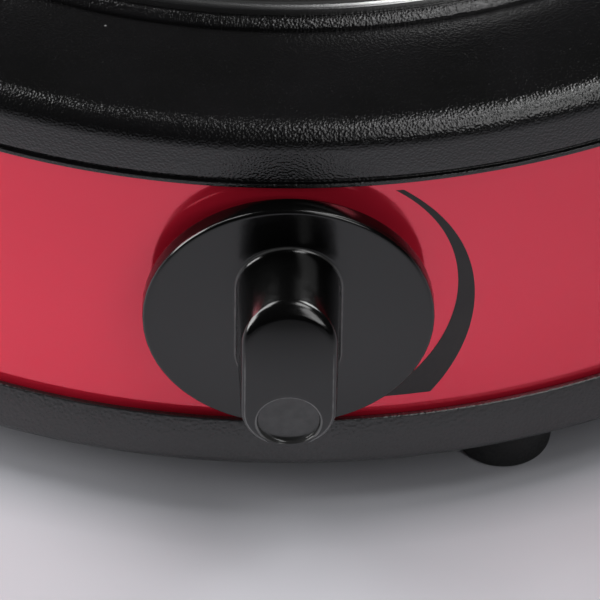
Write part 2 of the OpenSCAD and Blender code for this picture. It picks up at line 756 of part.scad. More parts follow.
module lead_live() color([0.45, 0.25, 0.12]) swept(concat(
    stub([block_pitch, block_y - 2, lead_z], [0, -1, 0], 5, false),
    [[30, block_y - 31.7, lead_z - 1], [44, -20, lead_z], [42, -60, z_knob - 12], [38, y_blade - 3, z_knob - 3]],
    stub([tab_reach, y_blade + blade_t / 2, z_knob], [1, 0, 0], 3, true)), lead_r);

module lead_switched() color([0.75, 0.72, 0.65]) swept(concat(
    stub([17, y_arm + arm_t, z_knob - 7], [0, 1, 0], 3, false),
    [[12, y_arm + 18, z_knob - 9], [18, -20, z_knob - 5], [16, 8, shield_low - 7], [2 * pin_x, pin_y - 8, shield_low - 4],
     [2 * pin_x, pin_y, shield_low + 1]],
    stub([pin_x, pin_y, z_pin], [0, 0, -1], 2, true)), lead_r);

module thermal_fuse() color([0.92, 0.9, 0.85]) rod_y(fuse_x, 0, lead_z, fuse_r, fuse_l);

module lead_neutral() color([0.15, 0.3, 0.6]) swept(concat(
    stub([-block_pitch, block_y - 2, lead_z], [0, -1, 0], 5, false),
    [[-19, fuse_l + 14, lead_z]],
    stub([fuse_x, fuse_l, lead_z], [0, 1, 0], 3, true)), lead_r);

module lead_fuse() color([0.75, 0.72, 0.65]) swept(concat(
    stub([fuse_x, 0, lead_z], [0, -1, 0], 3, false),
    [[-34, -14, lead_z + 6], [-40, 4, lead_z + 14], [-2 * pin_x - 4, pin_y - 8, shield_low - 4],
     [-2 * pin_x, pin_y, shield_low + 1]],
    stub([-pin_x, pin_y, z_pin], [0, 0, -1], 2, true)), lead_r);

module lead_earth() color([0.3, 0.6, 0.2]) swept(concat(
    stub([0, block_y - 2, lead_z], [0, -1, 0], 5, false),
    [[-5, earth_y + 4, z_floor + 3]],
    stub([earth_x - earth_r, earth_y, z_floor + lead_r + 0.2], [-1, 0, 0], 2.5, true)), lead_r);

module earth_screw() color([0.8, 0.65, 0.3]) translate([earth_x, earth_y, z_floor]) difference() {
    union() {
        cylinder(h = 3.4, r = earth_r);
        translate([0, 0, 3.4 - e]) cylinder(h = 2.2, r = 2.6);
    }
    translate([-3, -0.35, 4.6]) cube([6, 0.7, 2]);
}

top_cover();
side_band();
base_pan();
trim_ring();
heating_plate();
coil_outer();
coil_inner();
coil_cement();
element_cover();
element_pins();
pin_bushes();
plate_stud();
clamp_bar();
stud_washer();
stud_nut();
heat_shield();
cover_posts();
tie_spacers();
tie_bolts();
foot_front_right();
foot_rear_right();
foot_rear_left();
foot_front_left();
foot_screws();
foot_nuts();
knob();
knob_clip();
spindle();
spindle_circlip();
spindle_bush();
thermostat_bracket();
bracket_spacers();
bracket_screws();
bracket_nuts();
thermostat_block();
push_pin();
contact_blade();
blade_terminal();
fixed_blade();
bimetal_strip();
stack_spacers();
stack_rivet();
gland_body();
gland_cap();
gland_locknut();
terminal_block();
terminal_screws();
lead_live();
lead_switched();
lead_neutral();
thermal_fuse();
lead_fuse();
lead_earth();
earth_screw();
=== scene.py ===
import json
import math

import bmesh
import bpy
from mathutils import Matrix, Vector


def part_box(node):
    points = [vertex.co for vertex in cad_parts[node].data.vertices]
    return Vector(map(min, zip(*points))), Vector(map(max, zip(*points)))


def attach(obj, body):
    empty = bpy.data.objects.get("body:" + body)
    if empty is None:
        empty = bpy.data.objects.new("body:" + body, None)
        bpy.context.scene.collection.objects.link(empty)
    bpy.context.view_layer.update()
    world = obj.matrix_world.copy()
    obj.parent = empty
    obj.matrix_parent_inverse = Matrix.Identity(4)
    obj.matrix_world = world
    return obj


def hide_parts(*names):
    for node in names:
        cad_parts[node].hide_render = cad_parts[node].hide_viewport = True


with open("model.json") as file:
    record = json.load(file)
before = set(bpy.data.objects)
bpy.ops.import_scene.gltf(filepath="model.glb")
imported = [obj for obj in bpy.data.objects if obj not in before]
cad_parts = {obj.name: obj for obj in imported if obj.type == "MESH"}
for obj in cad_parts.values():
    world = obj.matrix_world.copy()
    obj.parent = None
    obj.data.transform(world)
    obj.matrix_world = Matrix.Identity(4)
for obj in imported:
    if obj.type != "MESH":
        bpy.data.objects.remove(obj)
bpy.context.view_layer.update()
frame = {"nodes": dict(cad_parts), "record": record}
nodes = frame["nodes"]

MM = 0.001

# ---------- measures taken from the frame ----------


def low(node):
    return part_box(node)[0]


def high(node):
    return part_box(node)[1]


BAND_R = high("side_band").x
BAND_WALL = 0.8 * MM
Z_FLOOR = low("side_band").z
Z_BAND = high("side_band").z
BASE_R = high("base_pan").x
Z_BASE = low("base_pan").z
Z_LEDGE = high("base_pan").z
COVER_R = high("top_cover").x
Z_COVER_TOP = high("top_cover").z
KNOB_R = high("knob").x
Z_KNOB = (low("knob").z + high("knob").z) / 2
Y_KNOB_BACK = high("knob").y
Y_GRIP = low("knob").y
PLATE_R = high("heating_plate").x
Z_PLATE = high("heating_plate").z
Z_SKIRT = low("heating_plate").z
TRIM_R = high("trim_ring").x
FOOT = (low("foot_front_right") + high("foot_front_right")) / 2
FOOT_R = (high("foot_front_right").x - low("foot_front_right").x) / 2
FOOT_H = high("foot_front_right").z
FOOT_CIRCLE = math.hypot(FOOT.x, FOOT.y)
FOOT_ANGLE = math.degrees(math.atan2(FOOT.x, -FOOT.y))
TIE_CIRCLE = BAND_R - BAND_WALL - 9 * MM
TIE_ANGLE = FOOT_ANGLE + 45
GLAND_Z = (low("gland_body").z + high("gland_body").z) / 2

# ---------- materials ----------


def new_material(name):
    material = bpy.data.materials.new(name)
    material.use_nodes = True
    tree = material.node_tree
    return material, tree, tree.nodes["Principled BSDF"]


def link(tree, a, b):
    tree.links.new(a, b)


def coordinates(tree, scale=(1, 1, 1)):
    """Object coordinates, stretched by a Mapping node."""
    where = tree.nodes.new("ShaderNodeTexCoord")
    mapping = tree.nodes.new("ShaderNodeMapping")
    mapping.inputs["Scale"].default_value = scale
    link(tree, where.outputs["Object"], mapping.inputs["Vector"])
    return mapping.outputs["Vector"]


def noise(tree, vector, scale, detail=3.0, roughness=0.5, distortion=0.0):
    node = tree.nodes.new("ShaderNodeTexNoise")
    node.inputs["Scale"].default_value = scale
    node.inputs["Detail"].default_value = detail
    node.inputs["Roughness"].default_value = roughness
    node.inputs["Distortion"].default_value = distortion
    link(tree, vector, node.inputs["Vector"])
    return node.outputs["Fac"]


def cells(tree, vector, scale, smooth=0.6):
    node = tree.nodes.new("ShaderNodeTexVoronoi")
    node.feature = "SMOOTH_F1"
    node.inputs["Scale"].default_value = scale
    node.inputs["Smoothness"].default_value = smooth
    link(tree, vector, node.inputs["Vector"])
    return node.outputs["Distance"]


def spread(tree, value, low_in, high_in, low_out, high_out):
    node = tree.nodes.new("ShaderNodeMapRange")
    node.inputs["From Min"].default_value = low_in
    node.inputs["From Max"].default_value = high_in
    node.inputs["To Min"].default_value = low_out
    node.inputs["To Max"].default_value = high_out
    link(tree, value, node.inputs["Value"])
    return node.outputs["Result"]


def mix_colour(tree, value, dark, light, start=0.35, stop=0.65):
    ramp = tree.nodes.new("ShaderNodeValToRGB")
    ramp.color_ramp.elements[0].position = start
    ramp.color_ramp.elements[1].position = stop
    ramp.color_ramp.elements[0].color = (*dark, 1)
    ramp.color_ramp.elements[1].color = (*light, 1)
    link(tree, value, ramp.inputs["Fac"])
    return ramp.outputs["Color"]


def add_values(tree, a, b, share=0.5):
    node = tree.nodes.new("ShaderNodeMath")
    node.operation = "MULTIPLY_ADD"
    node.inputs[1].default_value = share
    link(tree, b, node.inputs[0])
    link(tree, a, node.inputs[2])
    return node.outputs["Value"]


def bump(tree, shader, height, distance, strength=1.0):
    node = tree.nodes.new("ShaderNodeBump")
    node.inputs["Strength"].default_value = strength
    node.inputs["Distance"].default_value = distance
    link(tree, height, node.inputs["Height"])
    link(tree, node.outputs["Normal"], shader.inputs["Normal"])
    return node


def powder_coat(name, grain, depth, rough, colour, specular):
    """Black powder coat: rounded orange-peel cells, a finer grain between them and a few pale specks."""
    material, tree, shader = new_material(name)
    where = coordinates(tree)
    peel = cells(tree, where, 1 / grain)
    fine = noise(tree, where, 3 / grain, 4.0, 0.6)
    broad = noise(tree, where, 60.0, 3.0)
    tone = mix_colour(tree, broad, (colour * 0.8,) * 3, (colour * 1.25, colour * 1.2, colour * 1.3))
    speck = spread(tree, cells(tree, where, 190.0, 0.0), 0.035, 0.02, 0.0, 1.0)
    rare = spread(tree, noise(tree, where, 55.0, 0.0), 0.62, 0.64, 0.0, 1.0)
    dotted = tree.nodes.new("ShaderNodeMath")
    dotted.operation = "MULTIPLY"
    link(tree, speck, dotted.inputs[0])
    link(tree, rare, dotted.inputs[1])
    blend = tree.nodes.new("ShaderNodeMixRGB")
    blend.inputs["Color2"].default_value = (0.16, 0.16, 0.16, 1)
    link(tree, dotted.outputs["Value"], blend.inputs["Fac"])
    link(tree, tone, blend.inputs["Color1"])
    link(tree, blend.outputs["Color"], shader.inputs["Base Color"])
    link(tree, spread(tree, fine, 0.3, 0.7, rough - 0.04, rough + 0.06), shader.inputs["Roughness"])
    shader.inputs["Specular IOR Level"].default_value = specular
    bump(tree, shader, add_values(tree, peel, fine, 0.35), depth)
    return material


def red_lacquer():
    """Glossy red lacquer over bright metal, with the faint long waves of a sprayed coat."""
    material, tree, shader = new_material("red_lacquer")
    where = coordinates(tree)
    tone = mix_colour(tree, noise(tree, where, 14.0, 2.0), (0.96, 0.024, 0.060), (1.0, 0.030, 0.070))
    link(tree, tone, shader.inputs["Base Color"])
    shader.inputs["Metallic"].default_value = 0.40
    flow = noise(tree, where, 900.0, 2.0)
    link(tree, spread(tree, flow, 0.3, 0.7, 0.10, 0.14), shader.inputs["Roughness"])
    shader.inputs["Specular IOR Level"].default_value = 1.0
    shader.inputs["Specular Tint"].default_value = (1.0, 0.4, 0.62, 1)
    shader.inputs["Coat Weight"].default_value = 0.78
    shader.inputs["Coat Roughness"].default_value = 0.03
    bump(tree, shader, noise(tree, where, 350.0, 1.0), 0.000004)
    return material


def moulded(name, dark, light, rough, grain=0.0006, depth=0.000006, specular=0.5):
    """A moulded plastic or rubber: slight mottling, a fine grain and uneven gloss."""
    material, tree, shader = new_material(name)
    where = coordinates(tree)
    link(tree, mix_colour(tree, noise(tree, where, 90.0, 4.0), dark, light), shader.inputs["Base Color"])
    fine = noise(tree, where, 1 / grain, 4.0)
    link(tree, spread(tree, fine, 0.3, 0.7, rough * 0.85, rough * 1.2), shader.inputs["Roughness"])
    shader.inputs["Specular IOR Level"].default_value = specular
    bump(tree, shader, fine, depth)
    return material


def plastic_with_painted_highlights(name, dark, highlight, rough):
    """A black moulding with painted highlights: its colour turns paler, unevenly, where its mesh carries a painted
    highlight value.
    """
    material, tree, shader = new_material(name)
    where = coordinates(tree)
    painted_highlight = tree.nodes.new("ShaderNodeAttribute")
    painted_highlight.attribute_name = "painted_highlight"
    uneven = spread(tree, noise(tree, where, 700.0, 3.0), 0.3, 0.7, 0.6, 1.15)
    amount = tree.nodes.new("ShaderNodeMath")
    amount.operation = "MULTIPLY"
    link(tree, painted_highlight.outputs["Fac"], amount.inputs[0])
    link(tree, uneven, amount.inputs[1])
    link(tree, mix_colour(tree, amount.outputs["Value"], dark, highlight, 0.0, 1.0), shader.inputs["Base Color"])
    fine = noise(tree, where, 2000.0, 4.0)
    link(tree, spread(tree, fine, 0.3, 0.7, rough * 0.85, rough * 1.2), shader.inputs["Roughness"])
    shader.inputs["Specular IOR Level"].default_value = 0.62
    bump(tree, shader, fine, 0.0000015)
    return material


def turned_metal(name, dark, light, rough, pitch, depth, metallic=1.0):
    """A surface turned on a lathe round +Z: fine rings that follow the radius, with blotches over them."""
    material, tree, shader = new_material(name)
    where = coordinates(tree, (1, 1, 0))
    length = tree.nodes.new("ShaderNodeVectorMath")
    length.operation = "LENGTH"
    link(tree, where, length.inputs[0])
    radial = tree.nodes.new("ShaderNodeCombineXYZ")
    link(tree, length.outputs["Value"], radial.inputs["X"])
    rings = noise(tree, radial.outputs["Vector"], 1 / pitch, 6.0, 0.7)
    blotch = noise(tree, coordinates(tree), 45.0, 4.0)
    link(tree, mix_colour(tree, add_values(tree, rings, blotch, 0.5), dark, light, 0.5, 1.0),
         shader.inputs["Base Color"])
    link(tree, spread(tree, rings, 0.3, 0.7, rough * 0.8, rough * 1.25), shader.inputs["Roughness"])
    shader.inputs["Metallic"].default_value = metallic
    bump(tree, shader, add_values(tree, rings, noise(tree, coordinates(tree), 1400.0, 3.0), 0.4), depth)
    return material


def sheet_metal(name, dark, light, rough, spangle=140.0, metallic=1.0):
    """Plated or galvanised steel: spangle-sized patches that differ in tone and gloss."""
    material, tree, shader = new_material(name)
    where = coordinates(tree)
    patches = add_values(tree, cells(tree, where, spangle, 0.1), noise(tree, where, 600.0, 3.0), 0.6)
    link(tree, mix_colour(tree, patches, dark, light, 0.3, 0.9), shader.inputs["Base Color"])
    link(tree, spread(tree, patches, 0.2, 1.0, rough * 0.8, rough * 1.2), shader.inputs["Roughness"])
    shader.inputs["Metallic"].default_value = metallic
    bump(tree, shader, noise(tree, where, 2500.0, 2.0), 0.000004)
    return material


def braided(name, dark, light):
    """A braided glass sleeve: two crossed sets of fine strands."""
    material, tree, shader = new_material(name)
    strands = []
    for direction in (1, -1):
        wave = tree.nodes.new("ShaderNodeTexWave")
        wave.bands_direction = "DIAGONAL"
        wave.inputs["Scale"].default_value = 380.0
        link(tree, coordinates(tree, (direction, 1, 1)), wave.inputs["Vector"])
        strands.append(wave.outputs["Fac"])
    weave = add_values(tree, strands[0], strands[1], 1.0)
    link(tree, mix_colour(tree, weave, dark, light, 0.2, 1.0), shader.inputs["Base Color"])
    shader.inputs["Roughness"].default_value = 0.8
    bump(tree, shader, weave, 0.0001)
    return material


def grey(value):
    return (value, value, value)


MATERIALS = {
    "black_powder": powder_coat("black_powder", 0.00032, 0.000056, 0.15, 0.0045, 0.66),
    "black_base": powder_coat("black_base", 0.00046, 0.00006, 0.30, 0.009, 0.86),
    "red_lacquer": red_lacquer(),
    "stainless": turned_metal("stainless", grey(0.50), grey(0.66), 0.22, 0.0004, 0.000006),
    "cast_iron": turned_metal("cast_iron", grey(0.020), grey(0.040), 0.46, 0.0005, 0.00002, 0.3),
    "plated_steel": sheet_metal("plated_steel", (0.50, 0.50, 0.48), (0.66, 0.66, 0.62), 0.32, 500.0),
    "galvanised": sheet_metal("galvanised", (0.46, 0.47, 0.49), (0.64, 0.65, 0.67), 0.42),
    "element": sheet_metal("element", (0.20, 0.17, 0.15), (0.34, 0.30, 0.27), 0.5, 900.0),
    "cement": moulded("cement", (0.60, 0.57, 0.50), (0.76, 0.73, 0.66), 0.85, 0.0005, 0.00005),
    "ceramic": moulded("ceramic", (0.72, 0.69, 0.62), (0.82, 0.79, 0.72), 0.30, 0.0008, 0.000006),
    "rubber": moulded("rubber", grey(0.006), grey(0.010), 0.62, 0.0004, 0.00002, 0.35),
    # the knob's paler grey is painted highlight, laid on its edges and dimple
    "black_knob": plastic_with_painted_highlights("black_knob", grey(0.002), grey(0.16), 0.16),
    "black_nylon": moulded("black_nylon", grey(0.014), grey(0.022), 0.42, 0.0005, 0.00001),
    "scale_print": moulded("scale_print", (0.014, 0.011, 0.011), (0.019, 0.016, 0.016), 0.40),
    "brass": sheet_metal("brass", (0.60, 0.42, 0.17), (0.76, 0.56, 0.26), 0.30, 700.0),
    "spring_bronze": sheet_metal("spring_bronze", (0.58, 0.36, 0.16), (0.72, 0.48, 0.24), 0.28, 700.0),
    "bimetal": sheet_metal("bimetal", (0.42, 0.40, 0.36), (0.56, 0.53, 0.49), 0.34, 700.0),
    "silicone_brown": moulded("silicone_brown", (0.16, 0.07, 0.035), (0.24, 0.11, 0.06), 0.45),
    "glass_sleeve": braided("glass_sleeve", (0.48, 0.44, 0.37), (0.70, 0.66, 0.58)),
    "silicone_blue": moulded("silicone_blue", (0.04, 0.12, 0.34), (0.07, 0.18, 0.45), 0.45),
    "silicone_green": moulded("silicone_green", (0.10, 0.32, 0.07), (0.18, 0.46, 0.12), 0.45),
}

# Every node of the frame gets the finish that the record names for it
node_slots = {part["node"]: part["material_slot"] for part in frame["record"]["subparts"]}
for name, node in nodes.items():
    node.data.materials.clear()
    node.data.materials.append(MATERIALS[node_slots[name]])

# ---------- mesh helpers ----------


def arc(cx, cy, r, start, stop, steps=8):
    """Points on an arc about (cx, cy), angles in degrees."""
    angles = [math.radians(start + (stop - start) * i / steps) for i in range(steps + 1)]
    return [(cx + r * math.cos(a), cy + r * math.sin(a)) for a in angles]


def rounded(corners, steps=5):
    """A closed outline whose corners (x, y, radius) are rounded to their radius."""
    outline = []
    count = len(corners)
    for i, (x, y, r) in enumerate(corners):
        here = Vector((x, y))
        before = Vector(corners[i - 1][:2]) - here
        after = Vector(corners[(i + 1) % count][:2]) - here
        half = before.angle(after) / 2
        if r <= 0 or half > math.radians(89.5):
            outline.append((x, y))
            continue
        reach = min(r / math.tan(half), before.length * 0.49, after.length * 0.49)
        a = here + before.normalized() * reach
        b = here + after.normalized() * reach
        for k in range(steps + 1):
            t = k / steps
            point = a.lerp(here, t).lerp(here.lerp(b, t), t)
            outline.append((point.x, point.y))
    return outline


def finished(name, bm, slot, body="root", replaced=(), sharp=35, flip=True):
    """Turns a bmesh into a piece that rides on a body and has its finish."""
    if flip:
        bmesh.ops.recalc_face_normals(bm, faces=bm.faces)
    mesh = bpy.data.meshes.new(name)
    for face in bm.faces:
        face.smooth = True
    limit = math.radians(sharp)
    for edge in bm.edges:
        edge.smooth = len(edge.link_faces) == 2 and edge.calc_face_angle(0) < limit
    bm.to_mesh(mesh)
    bm.free()
    piece = bpy.data.objects.new(name, mesh)
    bpy.context.scene.collection.objects.link(piece)
    mesh.materials.append(MATERIALS[slot])
    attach(piece, body)
    if replaced:
        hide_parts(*replaced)
    return piece


def spin(bm, outline, turns, closed=True, place=Matrix.Identity(4)):
    """Turns an outline of (radius, height) round +Z."""
    tiny = 1e-7
    rings = []
    for r, z in outline:
        if r < tiny:
            rings.append([bm.verts.new(place @ Vector((0, 0, z)))])
            continue
        angles = [2 * math.pi * i / turns for i in range(turns)]
        rings.append([bm.verts.new(place @ Vector((r * math.cos(a), r * math.sin(a), z))) for a in angles])
    pairs = list(zip(rings, rings[1:]))
    if closed:
        pairs.append((rings[-1], rings[0]))
    for a, b in pairs:
        if len(a) == 1 and len(b) == 1:
            continue
        for i in range(turns):
            j = (i + 1) % turns
            corners = [a[i % len(a)], a[j % len(a)], b[j % len(b)], b[i % len(b)]]
            unique = list(dict.fromkeys(corners))
            bm.faces.new(unique)


def lathe(name, outline, slot, replaced=(), turns=512, body="root", place=Matrix.Identity(4), sharp=35):
    bm = bmesh.new()
    spin(bm, outline, turns, True, place)
    return finished(name, bm, slot, body, replaced, sharp)


def skin(bm, rings, cap_start=False, cap_end=False, wrap=True):
    """Faces between rings of points that all have the same count."""
    verts = [[bm.verts.new(p) for p in ring] for ring in rings]
    count = len(rings[0])
    last = count if wrap else count - 1
    for a, b in zip(verts, verts[1:]):
        for i in range(last):
            j = (i + 1) % count
            bm.faces.new((a[i], a[j], b[j], b[i]))
    if cap_start:
        bm.faces.new(verts[0])
    if cap_end:
        bm.faces.new(reversed(verts[-1]))
    return verts


# ---------- case ----------


def top_cover():
    """The pressed cover: hemmed lip, groove, upright side, shoulder, flat, rise and plate opening."""
    wall = 1.0 * MM
    fillet = 3.2 * MM
    lip = 0.6 * MM
    groove = 0.75 * MM
    groove_depth = 0.5 * MM
    side = 5.8 * MM
    hem = 2.6 * MM
    opening = PLATE_R + 1.0 * MM
    rise = 0.8 * MM
    land_in = TRIM_R + 0.4 * MM
    land_out = land_in + 1.5 * rise
    z_side = Z_BAND + side
    z_flat = z_side + fillet
    r0 = COVER_R - fillet
    outline = rounded([
        (COVER_R - hem, Z_BAND, 0), (COVER_R, Z_BAND, 0.1 * MM), (COVER_R, Z_BAND + lip, 0.08 * MM),
        (COVER_R - groove_depth, Z_BAND + lip + 0.1 * MM, 0.1 * MM),
        (COVER_R - groove_depth, Z_BAND + lip + groove - 0.1 * MM, 0.1 * MM),
        (COVER_R, Z_BAND + lip + groove, 0.3 * MM), (COVER_R, z_side - 0.01 * MM, 0)])
    outline += arc(r0, z_side, fillet, 0, 90, 14)
    outline += rounded([
        (land_out, z_flat, 1.2 * MM), (land_in, z_flat + rise, 1.2 * MM), (opening, z_flat + rise, 0.9 * MM),
        (opening, z_flat - 1.0 * MM, 0.2 * MM), (opening + wall, z_flat - 1.0 * MM, 0.2 * MM),
        (opening + wall, z_flat + rise - wall, 0.3 * MM),
        (land_in - 0.2 * MM, z_flat + rise - wall, 1.2 * MM),
        (land_out - 0.2 * MM, z_flat - wall, 1.2 * MM)], 8)
    outline += arc(r0, z_side, fillet - wall, 90, 0, 8)
    outline += [(COVER_R - wall, Z_BAND + 0.9 * MM), (COVER_R - hem, Z_BAND + 0.9 * MM)]
    return lathe("cover_shell", outline, "black_powder", ["top_cover"], 640)


top_cover()


def bored(piece, cutters):
    """Cuts plain cutter meshes out of a piece and applies the cut."""
    for cutter in cutters:
        cut = piece.modifiers.new("cut", "BOOLEAN")
        cut.operation = "DIFFERENCE"
        cut.solver = "EXACT"
        cut.object = cutter
    bpy.context.view_layer.update()
    evaluated = piece.evaluated_get(bpy.context.evaluated_depsgraph_get())
    mesh = bpy.data.meshes.new_from_object(evaluated)
    piece.modifiers.clear()
    piece.data = mesh
    for cutter in cutters:
        bpy.data.objects.remove(cutter)
    return piece


def cutter(outlines, depth, place_each):
    """One cutter object: each outline extruded by depth and put in its place."""
    bm = bmesh.new()
    for place in place_each:
        for outline in outlines:
            lower = [place @ Vector((x, y, 0)) for x, y in outline]
            upper = [place @ Vector((x, y, depth)) for x, y in outline]
            skin(bm, [lower, upper], True, True)
    bmesh.ops.recalc_face_normals(bm, faces=bm.faces)
    mesh = bpy.data.meshes.new("cutter")
    bm.to_mesh(mesh)
    bm.free()
    tool = bpy.data.objects.new("cutter", mesh)
    bpy.context.scene.collection.objects.link(tool)
    return tool


def circle(r, steps=48):
    return arc(0, 0, r, 0, 360 - 360 / steps, steps - 1)


def smooth_shell(piece, sharp=35):
    """Smooth shading with sharp edges by angle, after a cut."""
    bm = bmesh.new()
    bm.from_mesh(piece.data)
    limit = math.radians(sharp)
    for face in bm.faces:
        face.smooth = True
    for edge in bm.edges:
        edge.smooth = len(edge.link_faces) == 2 and edge.calc_face_angle(0) < limit
    bm.to_mesh(piece.data)
    bm.free()


def round_normals(piece):
    """Gives the upright faces of a round shell the exact normals of a cylinder."""
    mesh = piece.data
    upright = 0.02
    normals = [Vector(corner.vector) for corner in mesh.corner_normals]
    for face in mesh.polygons:
        centre = Vector((face.center.x, face.center.y, 0)).normalized()
        side = face.normal.dot(centre)
        if abs(face.normal.z) > upright or abs(side) < 0.99:
            continue
        for loop in face.loop_indices:
            point = mesh.vertices[mesh.loops[loop].vertex_index].co
            normals[loop] = Vector((point.x, point.y, 0)).normalized() * math.copysign(1, side)
    mesh.normals_split_custom_set(normals)


def around(circle_r, first, count):
    """Places round the axis, the first at an angle from the front, in degrees."""
    return [Matrix.Rotation(math.radians(first + 360 * i / count), 4, "Z") @ Matrix.Translation((0, -circle_r, 0))
            for i in range(count)]


def facing_y(x, y, z):
    """A place whose +Z points along the part's +Y."""
    return Matrix.Translation((x, y, z)) @ Matrix.Rotation(math.radians(-90), 4, "X")


def side_band():
    """The lacquered band with its turned-in flanges and the holes for the spindle, screws and gland."""
    flange = 3 * MM
    inner = BAND_R - BAND_WALL
    outline = [
        (BAND_R, Z_FLOOR), (BAND_R, Z_BAND),
        (BAND_R - flange, Z_BAND), (BAND_R - flange, Z_BAND - BAND_WALL), (inner, Z_BAND - BAND_WALL),
        (inner, Z_FLOOR + BAND_WALL), (BAND_R - flange, Z_FLOOR + BAND_WALL), (BAND_R - flange, Z_FLOOR)]
    piece = lathe("band_shell", outline, "red_lacquer", ["side_band"], 640)
    front = -BAND_R - 2 * MM
    back = BAND_R - 6 * MM
    bored(piece, [
        cutter([circle(5.45 * MM)], 8 * MM, [facing_y(0, front, Z_KNOB)]),
        cutter([circle(1.55 * MM, 32)], 8 * MM,
               [facing_y(side * 13 * MM, front, Z_KNOB) for side in (-1, 1)]),
        cutter([circle(6.05 * MM)], 10 * MM, [facing_y(0, back, GLAND_Z)])])
    smooth_shell(piece)
    round_normals(piece)
    return piece


side_band()


def base_pan():
    """The pressed base: leaning rim, rounded lower edge, vents and the holes for feet and tie bolts."""
    wall = 1.2 * MM
    rim_in = BAND_R + 0.35 * MM
    rim_out = rim_in + 0.8 * MM
    corner = 0.24 * MM
    edge = 1.8 * MM
    outline = [(0, Z_BASE)]
    outline += arc(BASE_R - edge, Z_BASE + edge, edge, -90, 0, 8)
    outline += arc(rim_out - corner, Z_LEDGE - corner, corner, 12, 90, 6)
    outline += arc(rim_in + corner, Z_LEDGE - corner, corner, 90, 180, 6)
    outline += [(rim_in, Z_LEDGE - 2.4 * MM), (BASE_R - wall, Z_LEDGE - 3 * MM),
                (BASE_R - wall, Z_FLOOR), (0, Z_FLOOR)]
    piece = lathe("base_shell", outline, "black_base", ["base_pan"], 640)
    slot_outline = arc(0, 6 * MM, 1.5 * MM, 0, 180, 8) + arc(0, -6 * MM, 1.5 * MM, 180, 360, 8)
    drop = Matrix.Translation((0, 0, Z_BASE - 1 * MM))
    depth = 4 * MM
    bored(piece, [
        cutter([slot_outline], depth, [drop @ p for p in around(26 * MM, 15, 8) + around(50 * MM, 15, 12)]),
        cutter([circle(1.55 * MM, 24)], depth, [drop @ p for p in around(FOOT_CIRCLE, FOOT_ANGLE, 4)]),
        cutter([circle(2.05 * MM, 24)], depth, [drop @ p for p in around(TIE_CIRCLE, TIE_ANGLE, 4)])])
    smooth_shell(piece)
    return piece


base_pan()

# ---------- knob ----------


def capsule(half_length, r, steps):
    """Points and outward normals round a stadium that stands along z, anticlockwise from +x."""
    points = []
    for end, start in ((half_length, 0), (-half_length, 180)):
        for i in range(steps + 1):
            a = math.radians(start + 180 * i / steps)
            n = Vector((math.cos(a), math.sin(a)))
            points.append((Vector((0, end)) + n * r, n))
    sides = 14
    flank = []
    for k, (point, n) in enumerate(points):
        flank.append((point, n))
        following = points[(k + 1) % len(points)][0]
        if (following - point).length > r:
            flank += [(point.lerp(following, i / sides), n) for i in range(1, sides)]
    return flank


